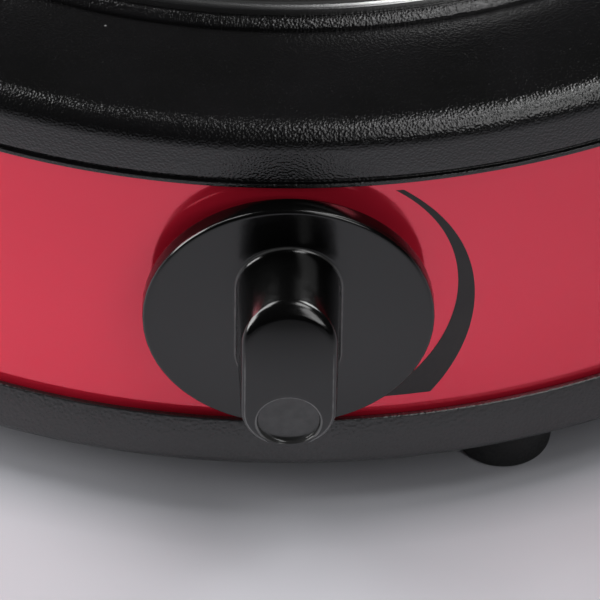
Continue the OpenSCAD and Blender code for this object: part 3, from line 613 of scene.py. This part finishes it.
def knob():
    """Round flange and bar grip in one moulding, with a pointer dimple low on the grip's face."""
    disc_r = KNOB_R
    disc_t = 2.6 * MM
    y_face = Y_KNOB_BACK - disc_t
    edge = 0.45 * MM
    half = 5.4 * MM
    half_width = 6.3 * MM
    draft = 0.45 * MM
    fall = 0.5 * MM
    reach = y_face - Y_GRIP
    root = 0.7 * MM
    dimple_r = 3.85 * MM
    dimple_z = -6.85 * MM
    dimple_depth = 0.7 * MM
    lip = 0.35 * MM
    crown_start = -1.0 * MM
    crown_span = 18.0 * MM
    base = capsule(half, half_width, 36)
    count = len(base)
    rings = []
    # painted highlights: pale lines along the grip's root and the face's edge, fading out toward the upper end,
    # and a paler dimple
    painted_highlight = []

    def ring(points, highlight=0.0, top_highlight=None):
        """Add a ring of points with a painted highlight amount, fading to a second amount toward the grip's upper
        end when one is given.
        """
        rings.append([Vector((x, y, Z_KNOB + z)) for x, y, z in points])
        top_highlight = highlight if top_highlight is None else top_highlight
        shares = [min(1.0, max(0.0, (z - 1 * MM) / (4 * MM))) for x, y, z in points]
        painted_highlight.append([highlight + (top_highlight - highlight) * share for share in shares])

    # the flange's rear, edge and front follow circles, sampled at the grip's own angles
    def round_ring(r, y):
        ring([(r * n.x, y, r * n.y) for n in directions])

    directions = []
    for point, n in base:
        directions.append(point.normalized())
    for r, y in [(7.0 * MM, Y_KNOB_BACK), (disc_r - edge, Y_KNOB_BACK)] + \
            [(x, y) for x, y in arc(disc_r - edge, Y_KNOB_BACK - edge, edge, 90, 0, 5)] + \
            [(x, y) for x, y in arc(disc_r - edge, y_face + edge, edge, 0, -90, 6)]:
        round_ring(r, y)
    # the flat of the flange runs in to the grip's root
    outer = rings[-1]
    flare = [(p + n * root, n) for p, n in base]
    for t in (0.03, 0.3, 0.6, 0.85):
        ring([(outer[k].x + (flare[k][0].x - outer[k].x) * t, y_face,
               outer[k].z - Z_KNOB + (flare[k][0].y - (outer[k].z - Z_KNOB)) * t) for k in range(count)])
    for i in range(6):
        a = math.radians(90 * i / 5)
        ring([((p + n * root * (1 - math.sin(a))).x, y_face - root * (1 - math.cos(a)),
               # a painted highlight line along the grip's root
               (p + n * root * (1 - math.sin(a))).y) for p, n in base], 0.5 if i == 2 else 0.0)
    # the flanks lean in by the draft as far as the face's rounded edge
    def edge_radius(n):
        """The face's edge is tight along the flanks and the lower end, and full at the upper end."""
        lift = max(0.0, n.y)
        return 0.75 * MM + 0.3 * MM * lift ** 1.5

    def crown(z):
        """How far the face falls back at a height above the knob's axis: flat below, then ever steeper."""
        return max(0.0, z - crown_start) ** 3 / (3 * crown_span ** 2)

    def lean(p, n, y):
        t = (y_face - y) / reach
        return p - n * draft * t - Vector((0, max(0.0, n.y) * fall * t))

    stops = [0.12, 0.3, 0.55, 0.8, 1.0]
    for share in stops:
        points = []
        for p, n in base:
            depth = root + (reach - edge_radius(n) - crown(p.y) - root) * share
            q = lean(p, n, y_face - depth)
            points.append((q.x, y_face - depth, q.y))
        ring(points)
    for i in range(1, 9):
        a = math.radians(90 * i / 8)
        points = []
        for p, n in base:
            r = edge_radius(n)
            back = crown(p.y)
            q = lean(p, n, Y_GRIP + r + back) - n * r * (1 - math.cos(a))
            y = Y_GRIP + r * (1 - math.sin(a)) + back * math.cos(a) + crown(q.y) * (1 - math.cos(a))
            points.append((q.x, y, q.y))
        ring(points, 1.0 if i == 6 else 0.0, 0.0)
    # the face, slightly crowned, runs in to the dimple
    face_edge = [(v.x, v.z - Z_KNOB) for v in rings[-1]]
    mouth = dimple_r + lip
    centre = Vector((0, dimple_z))
    spokes = [(Vector(q) - centre).normalized() for q in face_edge]
    for t in (0.06, 0.15, 0.3, 0.5, 0.7, 0.85, 0.95, 1.0):
        points = []
        for k, q in enumerate(face_edge):
            inner = centre + spokes[k] * mouth
            x = q[0] + (inner.x - q[0]) * t
            z = q[1] + (inner.y - q[1]) * t
            points.append((x, Y_GRIP + crown(z), z))
        ring(points)
    well = arc(mouth, Y_GRIP + lip, lip, -90, -180, 6)[1:]
    foot = arc(dimple_r - 0.3 * MM, Y_GRIP + dimple_depth - 0.3 * MM, 0.3 * MM, 0, 90, 5)
    middle = [(2.2 * MM, Y_GRIP + dimple_depth), (1.0 * MM, Y_GRIP + dimple_depth)]
    for k, (r, y) in enumerate(well + foot + middle):
        # painted highlight round the dimple's mouth, and a fainter one inside it
        ring([(d.x * r, y, dimple_z + d.y * r) for d in spokes], 1.0 if k in (0, 1, 2) else 0.3)
    bm = bmesh.new()
    highlight = bm.verts.layers.float.new("painted_highlight")
    verts = skin(bm, rings)
    for row, values in zip(verts, painted_highlight):
        for vert, value in zip(row, values):
            vert[highlight] = value
    hub = bm.verts.new((0, Y_GRIP + dimple_depth, Z_KNOB + dimple_z))
    hub[highlight] = 0.3
    rear = bm.verts.new((0, Y_KNOB_BACK, Z_KNOB))
    for k in range(count):
        j = (k + 1) % count
        bm.faces.new((verts[-1][k], verts[-1][j], hub))
        bm.faces.new((verts[0][j], verts[0][k], rear))
    return finished("knob_moulding", bm, "black_knob", "knob_body", ["knob"], 50)


knob()


def heat_scale():
    """The printed wedge that curves round the knob, thin at the low end and broad at the high end."""
    steps = 90
    across = 6
    top = 17.2 * MM
    bottom = -17.4 * MM

    def inner(angle):
        return (21.62 - 0.0088 * (angle - 37)) * MM

    def outer(angle):
        share = max(0.0, (angle - 45) / 89)
        return (22.2 + 2.8 * share ** 1.45) * MM

    def meet(radius, height, angle):
        """The angle at which an edge reaches the height where the print is cut off."""
        for _ in range(20):
            angle = math.degrees(math.acos(height / radius(angle)))
        return angle

    spans = [(radius, meet(radius, top, 38), meet(radius, bottom, 140)) for radius in (inner, outer)]
    skins = []
    for lift in (0.004 * MM, 0.03 * MM):
        rows = []
        for i in range(steps + 1):
            ends = []
            for radius, first, last in spans:
                angle = first + (last - first) * i / steps
                turn = math.radians(angle)
                ends.append(Vector((math.sin(turn), math.cos(turn))) * radius(angle))
            row = []
            for k in range(across + 1):
                flat = ends[0].lerp(ends[1], k / across)
                turn = flat.x / BAND_R
                r = BAND_R + lift
                row.append(Vector((r * math.sin(turn), -r * math.cos(turn), Z_KNOB + flat.y)))
            rows.append(row)
        skins.append(rows)
    bm = bmesh.new()
    sheets = [[[bm.verts.new(p) for p in row] for row in rows] for rows in skins]
    lower, upper = sheets
    for i in range(steps):
        for k in range(across):
            bm.faces.new((upper[i][k], upper[i + 1][k], upper[i + 1][k + 1], upper[i][k + 1]))
            bm.faces.new((lower[i][k + 1], lower[i + 1][k + 1], lower[i + 1][k], lower[i][k]))
        for k in (0, across):
            bm.faces.new((lower[i][k], lower[i + 1][k], upper[i + 1][k], upper[i][k]))
    for i in (0, steps):
        for k in range(across):
            bm.faces.new((lower[i][k], lower[i][k + 1], upper[i][k + 1], upper[i][k]))
    return finished("heat_scale", bm, "scale_print", "root")


heat_scale()

# ---------- feet ----------


def foot(name, place):
    """A turned rubber foot with a rounded heel and a well for its screw."""
    well = 3.3 * MM
    hole = 1.55 * MM
    well_h = 2.6 * MM
    tread = FOOT_R - 0.8 * MM
    outline = rounded([(well, 0, 0.3 * MM), (tread, 0, 0.8 * MM), (FOOT_R, FOOT_H - 0.6 * MM, 0.3 * MM),
                       (FOOT_R, FOOT_H, 0), (hole, FOOT_H, 0), (hole, well_h, 0), (well, well_h, 0)], 6)
    return lathe("shaped_" + name, outline, "rubber", [name], 96, place=place)


FEET = ["foot_front_right", "foot_rear_right", "foot_rear_left", "foot_front_left"]
for foot_name, foot_place in zip(FEET, around(FOOT_CIRCLE, FOOT_ANGLE, 4)):
    foot(foot_name, foot_place)

def make_object(name, bm, sharp=35):
    """A bmesh turned into an object with smooth faces and sharp edges by angle."""
    bmesh.ops.recalc_face_normals(bm, faces=bm.faces)
    mesh = bpy.data.meshes.new(name)
    bm.to_mesh(mesh)
    bm.free()
    piece = bpy.data.objects.new(name, mesh)
    bpy.context.scene.collection.objects.link(piece)
    smooth_shell(piece, sharp)
    return piece


def enrol(piece, slot, body="root", replaced=()):
    """Puts a finished piece on its body, in its finish and in place of its CAD nodes."""
    piece.data.materials.clear()
    piece.data.materials.append(MATERIALS[slot])
    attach(piece, body)
    if replaced:
        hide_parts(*replaced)
    return piece


def ring_tree(name, slot):
    """A node tree that repeats its mesh round a circle, with the mesh's +X pointing outwards."""
    tree = bpy.data.node_groups.new(name, "GeometryNodeTree")
    face = tree.interface
    face.new_socket("Geometry", in_out="INPUT", socket_type="NodeSocketGeometry")
    face.new_socket("Count", in_out="INPUT", socket_type="NodeSocketInt")
    face.new_socket("Circle Radius", in_out="INPUT", socket_type="NodeSocketFloat")
    face.new_socket("First Angle", in_out="INPUT", socket_type="NodeSocketFloat")
    face.new_socket("Place", in_out="INPUT", socket_type="NodeSocketVector")
    face.new_socket("Turn", in_out="INPUT", socket_type="NodeSocketVector")
    face.new_socket("Geometry", in_out="OUTPUT", socket_type="NodeSocketGeometry")
    source = tree.nodes.new("NodeGroupInput")
    points = tree.nodes.new("GeometryNodeMeshCircle")
    link(tree, source.outputs["Count"], points.inputs["Vertices"])
    link(tree, source.outputs["Circle Radius"], points.inputs["Radius"])
    index = tree.nodes.new("GeometryNodeInputIndex")
    step = tree.nodes.new("ShaderNodeMath")
    step.operation = "DIVIDE"
    step.inputs[0].default_value = 2 * math.pi
    link(tree, source.outputs["Count"], step.inputs[1])
    angle = tree.nodes.new("ShaderNodeMath")
    angle.operation = "MULTIPLY"
    link(tree, index.outputs["Index"], angle.inputs[0])
    link(tree, step.outputs["Value"], angle.inputs[1])
    turn_each = tree.nodes.new("ShaderNodeCombineXYZ")
    link(tree, angle.outputs["Value"], turn_each.inputs["Z"])
    copies = tree.nodes.new("GeometryNodeInstanceOnPoints")
    link(tree, points.outputs["Mesh"], copies.inputs["Points"])
    link(tree, source.outputs["Geometry"], copies.inputs["Instance"])
    link(tree, turn_each.outputs["Vector"], copies.inputs["Rotation"])
    first = tree.nodes.new("ShaderNodeCombineXYZ")
    link(tree, source.outputs["First Angle"], first.inputs["Z"])
    turned = tree.nodes.new("GeometryNodeTransform")
    link(tree, copies.outputs["Instances"], turned.inputs["Geometry"])
    link(tree, first.outputs["Vector"], turned.inputs["Rotation"])
    placed = tree.nodes.new("GeometryNodeTransform")
    link(tree, turned.outputs["Geometry"], placed.inputs["Geometry"])
    link(tree, source.outputs["Place"], placed.inputs["Translation"])
    link(tree, source.outputs["Turn"], placed.inputs["Rotation"])
    realised = tree.nodes.new("GeometryNodeRealizeInstances")
    link(tree, placed.outputs["Geometry"], realised.inputs["Geometry"])
    painted = tree.nodes.new("GeometryNodeSetMaterial")
    painted.inputs["Material"].default_value = MATERIALS[slot]
    link(tree, realised.outputs["Geometry"], painted.inputs["Geometry"])
    result = tree.nodes.new("NodeGroupOutput")
    link(tree, painted.outputs["Geometry"], result.inputs["Geometry"])
    return tree


def repeated(name, unit, slot, count, circle_r, first,
             place=(0, 0, 0), turn=(0, 0, 0), replaced=(), sharp=35):
    """Repeats one shape round a circle with Geometry Nodes; the first angle is from the front, in degrees."""
    piece = make_object(name, unit, sharp)
    tree = ring_tree(name + "_tree", slot)
    modifier = piece.modifiers.new("repeat", "NODES")
    modifier.node_group = tree
    values = {"Count": count, "Circle Radius": circle_r, "First Angle": math.radians(first - 90),
              "Place": place, "Turn": turn}
    for item in tree.interface.items_tree:
        if item.in_out == "INPUT" and item.name in values:
            modifier[item.identifier] = values[item.name]
    bpy.context.view_layer.update()
    evaluated = piece.evaluated_get(bpy.context.evaluated_depsgraph_get())
    mesh = bpy.data.meshes.new_from_object(evaluated)
    piece.modifiers.clear()
    piece.data = mesh
    smooth_shell(piece, sharp)
    return enrol(piece, slot, "root", replaced)


def screw(head_r, head_h, shank_r, length, recess, pitch):
    """A pan-head screw that points up from z = 0, with a cross recess in its head and a ringed thread."""
    dome = min(head_h * 0.5, 0.9 * MM)
    outline = [(0, 0), (head_r - dome, 0)]
    outline += arc(head_r - dome, dome, dome, -90, 0, 6)[1:]
    outline += [(head_r, head_h), (shank_r, head_h)]
    turns = int((length - head_h - pitch) / pitch)
    for i in range(turns):
        z = head_h + pitch * (i + 0.5)
        outline += [(shank_r, z), (shank_r * 0.86, z + pitch * 0.5)]
    outline += [(shank_r, length - 0.4 * MM), (shank_r * 0.8, length), (0, length)]
    bm = bmesh.new()
    spin(bm, outline, 48, False)
    piece = make_object("screw", bm)
    arm = head_r * 0.62
    half = 0.38 * MM
    cross = [(-arm, -half), (-half, -half), (-half, -arm), (half, -arm), (half, -half), (arm, -half), (arm, half),
             (half, half), (half, arm), (-half, arm), (-half, half), (-arm, half)]
    bored(piece, [cutter([cross], recess + 0.1 * MM, [Matrix.Translation((0, 0, -0.1 * MM))])])
    unit = bmesh.new()
    unit.from_mesh(piece.data)
    bpy.data.objects.remove(piece)
    return unit


def foot_screws():
    z = low("foot_screws").z
    unit = screw(2.8 * MM, 1.8 * MM, 1.5 * MM, high("foot_screws").z - z, 1.0 * MM, 0.5 * MM)
    repeated("foot_screw_set", unit, "plated_steel", 4, FOOT_CIRCLE, FOOT_ANGLE, (0, 0, z),
             replaced=["foot_screws"])


def tie_bolts():
    z = low("tie_bolts").z
    unit = screw(3.8 * MM, 2.4 * MM, 2.0 * MM, high("tie_bolts").z - z, 1.4 * MM, 0.7 * MM)
    repeated("tie_bolt_set", unit, "plated_steel", 4, TIE_CIRCLE, TIE_ANGLE, (0, 0, z),
             replaced=["tie_bolts"])


foot_screws()
tie_bolts()

# ---------- heating plate and trim ----------


def heating_plate():
    """The turned plate: a face with fine rings, a centre recess, a rounded rim, a skirt, ribs and a boss."""
    recess_r = 20 * MM
    recess = 0.8 * MM
    rim = 1.2 * MM
    skin_t = 4.6 * MM
    step = 2 * MM
    skirt_w = 4 * MM
    rib = 3 * MM
    boss = 9 * MM
    stud = 3 * MM
    z_rest = Z_COVER_TOP + 0.8 * MM
    z_ceiling = Z_PLATE - skin_t
    channel_out = PLATE_R - step - skirt_w
    channel_in = boss + rib + (channel_out - boss) * 6 / 23
    channel = (channel_out - channel_in - rib) / 2
    outline = [(0, Z_PLATE - recess), (recess_r - recess - 0.3 * MM, Z_PLATE - recess),
               (recess_r - recess, Z_PLATE - recess + 0.1 * MM), (recess_r - 0.1 * MM, Z_PLATE - 0.1 * MM),
               (recess_r + 0.2 * MM, Z_PLATE)]
    pitch = 2.0 * MM
    cut = 0.28 * MM
    rings = int((PLATE_R - rim - recess_r - 4 * MM) / pitch)
    for i in range(rings):
        r = recess_r + 2.5 * MM + pitch * i
        outline += [(r - cut, Z_PLATE), (r - cut * 0.4, Z_PLATE - 0.12 * MM), (r + cut * 0.4, Z_PLATE - 0.12 * MM),
                    (r + cut, Z_PLATE)]
    outline += arc(PLATE_R - rim, Z_PLATE - rim, rim, 90, 0, 7)
    outline += [(PLATE_R, z_rest + 0.3 * MM), (PLATE_R - 0.3 * MM, z_rest), (PLATE_R - step, z_rest),
                (PLATE_R - step, Z_SKIRT), (channel_out, Z_SKIRT), (channel_out, z_ceiling)]
    for inner in (channel_in + channel, channel_in - rib):
        outline += [(inner + rib, z_ceiling), (inner + rib, Z_SKIRT), (inner, Z_SKIRT), (inner, z_ceiling)]
    outline += [(boss, z_ceiling), (boss, Z_SKIRT), (stud, Z_SKIRT),
                (stud, Z_SKIRT + 6 * MM), (0, Z_SKIRT + 6 * MM)]
    bm = bmesh.new()
    spin(bm, outline, 384, False)
    return enrol(make_object("plate_casting", bm, 25), "cast_iron", "root", ["heating_plate"])


def trim_ring():
    """The polished ring between the cover and the plate, with a rolled bead at its outer edge."""
    crest = 0.6 * MM
    opening = PLATE_R + 1.0 * MM
    inner = opening - 1.1 * MM
    sheet = 0.8 * MM
    z_rest = Z_COVER_TOP + sheet
    soft = 0.25 * MM
    outline = rounded([
        (inner, Z_COVER_TOP - 2.2 * MM, 0), (inner + sheet, Z_COVER_TOP - 2.2 * MM, 0),
        (inner + sheet, Z_COVER_TOP, 0), (TRIM_R, Z_COVER_TOP, 0.1 * MM),
        (TRIM_R, z_rest + crest * 0.4, 0.45 * MM), (TRIM_R - crest, z_rest + crest, 0.5 * MM),
        (TRIM_R - 2.2 * crest, z_rest + crest, 0.5 * MM), (TRIM_R - 3.2 * crest, z_rest, soft),
        (inner, z_rest, soft)], 6)
    return lathe("trim_bead", outline, "stainless", ["trim_ring"], 512)


heating_plate()
trim_ring()

# ---------- cord gland ----------


def gland_body():
    """The gland's threaded body with a hexagonal flange on the band."""
    inside = low("gland_body").y
    hex_r = 8.5 * MM
    hex_t = 4 * MM
    thread_r = 6 * MM
    bore_r = 3.6 * MM
    neck_r = thread_r - 0.6 * MM
    chamfer = 0.5 * MM
    steps = 96
    tip = high("gland_body").y

    def flat_sided(a):
        """Radius of the hexagon's outline at an angle, with its corners turned off."""
        side = (a + math.pi / 6) % (math.pi / 3) - math.pi / 6
        return min(hex_r * math.cos(math.pi / 6) / math.cos(side), hex_r - 0.25 * MM)

    rings = []

    def ring(y, radius):
        points = []
        for i in range(steps):
            a = 2 * math.pi * i / steps
            r = radius(a) if callable(radius) else radius
            points.append((r * math.cos(a), y, GLAND_Z + r * math.sin(a)))
        rings.append([Vector(p) for p in points])

    ring(inside, bore_r)
    ring(inside, thread_r - 0.4 * MM)
    pitch = 1.0 * MM
    turns = int((BAND_R - inside - pitch) / pitch)
    for i in range(turns):
        ring(inside + pitch * (i + 0.4), thread_r)
        ring(inside + pitch * (i + 0.9), thread_r - 0.45 * MM)
    ring(BAND_R, thread_r - 0.1 * MM)
    ring(BAND_R, lambda a: flat_sided(a) - chamfer)
    ring(BAND_R + chamfer, flat_sided)
    ring(BAND_R + hex_t - chamfer, flat_sided)
    ring(BAND_R + hex_t, lambda a: flat_sided(a) - chamfer)
    ring(BAND_R + hex_t, neck_r)
    ring(tip - 0.3 * MM, neck_r)
    ring(tip, neck_r - 0.3 * MM)
    ring(tip, bore_r)
    bm = bmesh.new()
    verts = skin(bm, rings)
    for i in range(steps):
        j = (i + 1) % steps
        bm.faces.new((verts[-1][i], verts[-1][j], verts[0][j], verts[0][i]))
    return enrol(make_object("gland_flange", bm, 30), "black_nylon", "root", ["gland_body"])


def gland_cap():
    """The gland's clamping cap: a ribbed barrel, a plain collar and a cone down to the mouth."""
    y0 = low("gland_cap").y
    length = high("gland_cap").y - y0
    barrel_r = high("gland_cap").x
    rib_r = 0.42 * MM
    root_r = barrel_r - rib_r
    inner = 5.45 * MM
    mouth = 3.9 * MM
    ribbed = length * 0.5
    nose = 2 * MM
    outline = rounded([
        (inner, 0, 0.1 * MM), (root_r, 0, 0.3 * MM), (root_r, ribbed, 0.1 * MM),
        (barrel_r, ribbed + 0.2 * MM, 0.2 * MM),
        (barrel_r, length * 0.6, 0.5 * MM), (mouth + 1.2 * MM, length, 0.6 * MM), (mouth, length, 0.4 * MM),
        (mouth, length - nose, 0.2 * MM), (inner, length - nose, 0)], 5)
    lathe("cap_shell", outline, "black_nylon", ["gland_cap"], 120, place=facing_y(0, y0, GLAND_Z))
    rib = bmesh.new()
    end = 0.3 * MM
    profile = [(0, 0)] + arc(rib_r - end, end, end, -90, 0, 3)
    profile += arc(rib_r - end, ribbed - end, end, 0, 90, 3) + [(0, ribbed)]
    spin(rib, profile, 12, False)
    repeated("cap_ribs", rib, "black_nylon", 24, root_r, 0,
             (0, y0 + 0.1 * MM, GLAND_Z), (math.radians(-90), 0, 0))


gland_body()
gland_cap()

# ---------- camera, lights and floor ----------

AZIMUTH = math.radians(-1.05)
ELEVATION = math.radians(43.085)
ROLL = math.radians(0.7747)
DISTANCE = 1.3237
AIM = Vector((1.39 * MM, -BAND_R - 3.74 * MM, Z_KNOB + 3.16 * MM))


def make_camera():
    back = Vector((math.sin(AZIMUTH) * math.cos(ELEVATION), -math.cos(AZIMUTH) * math.cos(ELEVATION),
                   math.sin(ELEVATION)))
    right = Vector((math.cos(AZIMUTH), math.sin(AZIMUTH), 0))
    up = back.cross(right)
    turned_right = right * math.cos(ROLL) + up * math.sin(ROLL)
    turned_up = up * math.cos(ROLL) - right * math.sin(ROLL)
    data = bpy.data.cameras.new("camera")
    data.sensor_width = 36
    data.lens = 646.8
    data.clip_start = 0.05
    data.clip_end = 50
    camera = bpy.data.objects.new("camera", data)
    bpy.context.scene.collection.objects.link(camera)
    axes = Matrix((turned_right, turned_up, back)).transposed()
    camera.matrix_world = Matrix.Translation(AIM + back * DISTANCE) @ axes.to_4x4()
    bpy.context.scene.camera = camera


make_camera()


def make_floor():
    bm = bmesh.new()
    reach = 1.6
    steps = 8
    marks = [reach * (2 * i / steps - 1) for i in range(steps + 1)]
    grid = [[bm.verts.new((x, y, 0)) for x in marks] for y in marks]
    for j in range(steps):
        for i in range(steps):
            bm.faces.new((grid[j][i], grid[j][i + 1], grid[j + 1][i + 1], grid[j + 1][i]))
    mesh = bpy.data.meshes.new("floor")
    bm.to_mesh(mesh)
    bm.free()
    floor = bpy.data.objects.new("floor", mesh)
    bpy.context.scene.collection.objects.link(floor)
    # Painted light: the floor's colour is a painted pool of light, palest just outside the base, darker under the
    # part and fading to dark further out
    material, tree, shader = new_material("floor")
    length = tree.nodes.new("ShaderNodeVectorMath")
    length.operation = "LENGTH"
    link(tree, coordinates(tree, (1, 1, 0)), length.inputs[0])
    light_pool_reach = 0.30
    away = spread(tree, length.outputs["Value"], 0.0, light_pool_reach, 0.0, 1.0)
    tone = mix_colour(tree, away, (0.46, 0.46, 0.494), (0.12, 0.12, 0.128), 0.101 / light_pool_reach, 1.0)
    ramp = tone.node.color_ramp
    for radius, value in ((0.108, 0.59), (0.125, 0.59), (0.145, 0.48)):
        ramp.elements.new(radius / light_pool_reach).color = (value, value, value * 1.07, 1)
    link(tree, tone, shader.inputs["Base Color"])
    shader.inputs["Roughness"].default_value = 0.7
    mesh.materials.append(material)


make_floor()


def softbox(name, place, aim, width, height, power, colour=(1, 1, 1)):
    data = bpy.data.lights.new(name, "AREA")
    data.shape = "RECTANGLE"
    data.size = width
    data.size_y = height
    data.energy = power
    data.color = colour
    lamp = bpy.data.objects.new(name, data)
    bpy.context.scene.collection.objects.link(lamp)
    lamp.location = place
    lamp.rotation_euler = (Vector(aim) - Vector(place)).to_track_quat("-Z", "Y").to_euler()
    return lamp


def panel(name, azimuth, elevation, distance, width, height, radiance):
    """A soft panel seen from the knob: azimuth is to the right of the front, in degrees."""
    a = math.radians(azimuth)
    e = math.radians(elevation)
    aim = Vector((0, -BAND_R, Z_BAND))
    place = aim + Vector((math.sin(a) * math.cos(e), -math.cos(a) * math.cos(e), math.sin(e))) * distance
    softbox(name, place, aim, width, height, radiance * math.pi * width * height)


panel("tall_panel_left", -120, 32, 1.2, 0.55, 1.28, 6.7)
panel("low_panel_left", -90, 18, 1.2, 0.61, 0.60, 8.0)
panel("panel_right_rear", 125, 46, 1.2, 0.45, 0.60, 8.6)
panel("panel_right_above", 70, 68, 1.2, 0.32, 0.42, 5.7)
panel("tall_panel_right", 40, 40, 1.2, 0.32, 0.87, 3.2)
panel("fill_panel_right", 25, 30, 1.2, 0.32, 0.42, 1.6)

world = bpy.data.worlds.new("room")
world.use_nodes = True
world.node_tree.nodes["Background"].inputs["Color"].default_value = (0.9, 0.92, 1.0, 1)
world.node_tree.nodes["Background"].inputs["Strength"].default_value = 0.01
bpy.context.scene.world = world
bpy.context.scene.view_settings.view_transform = "Standard"
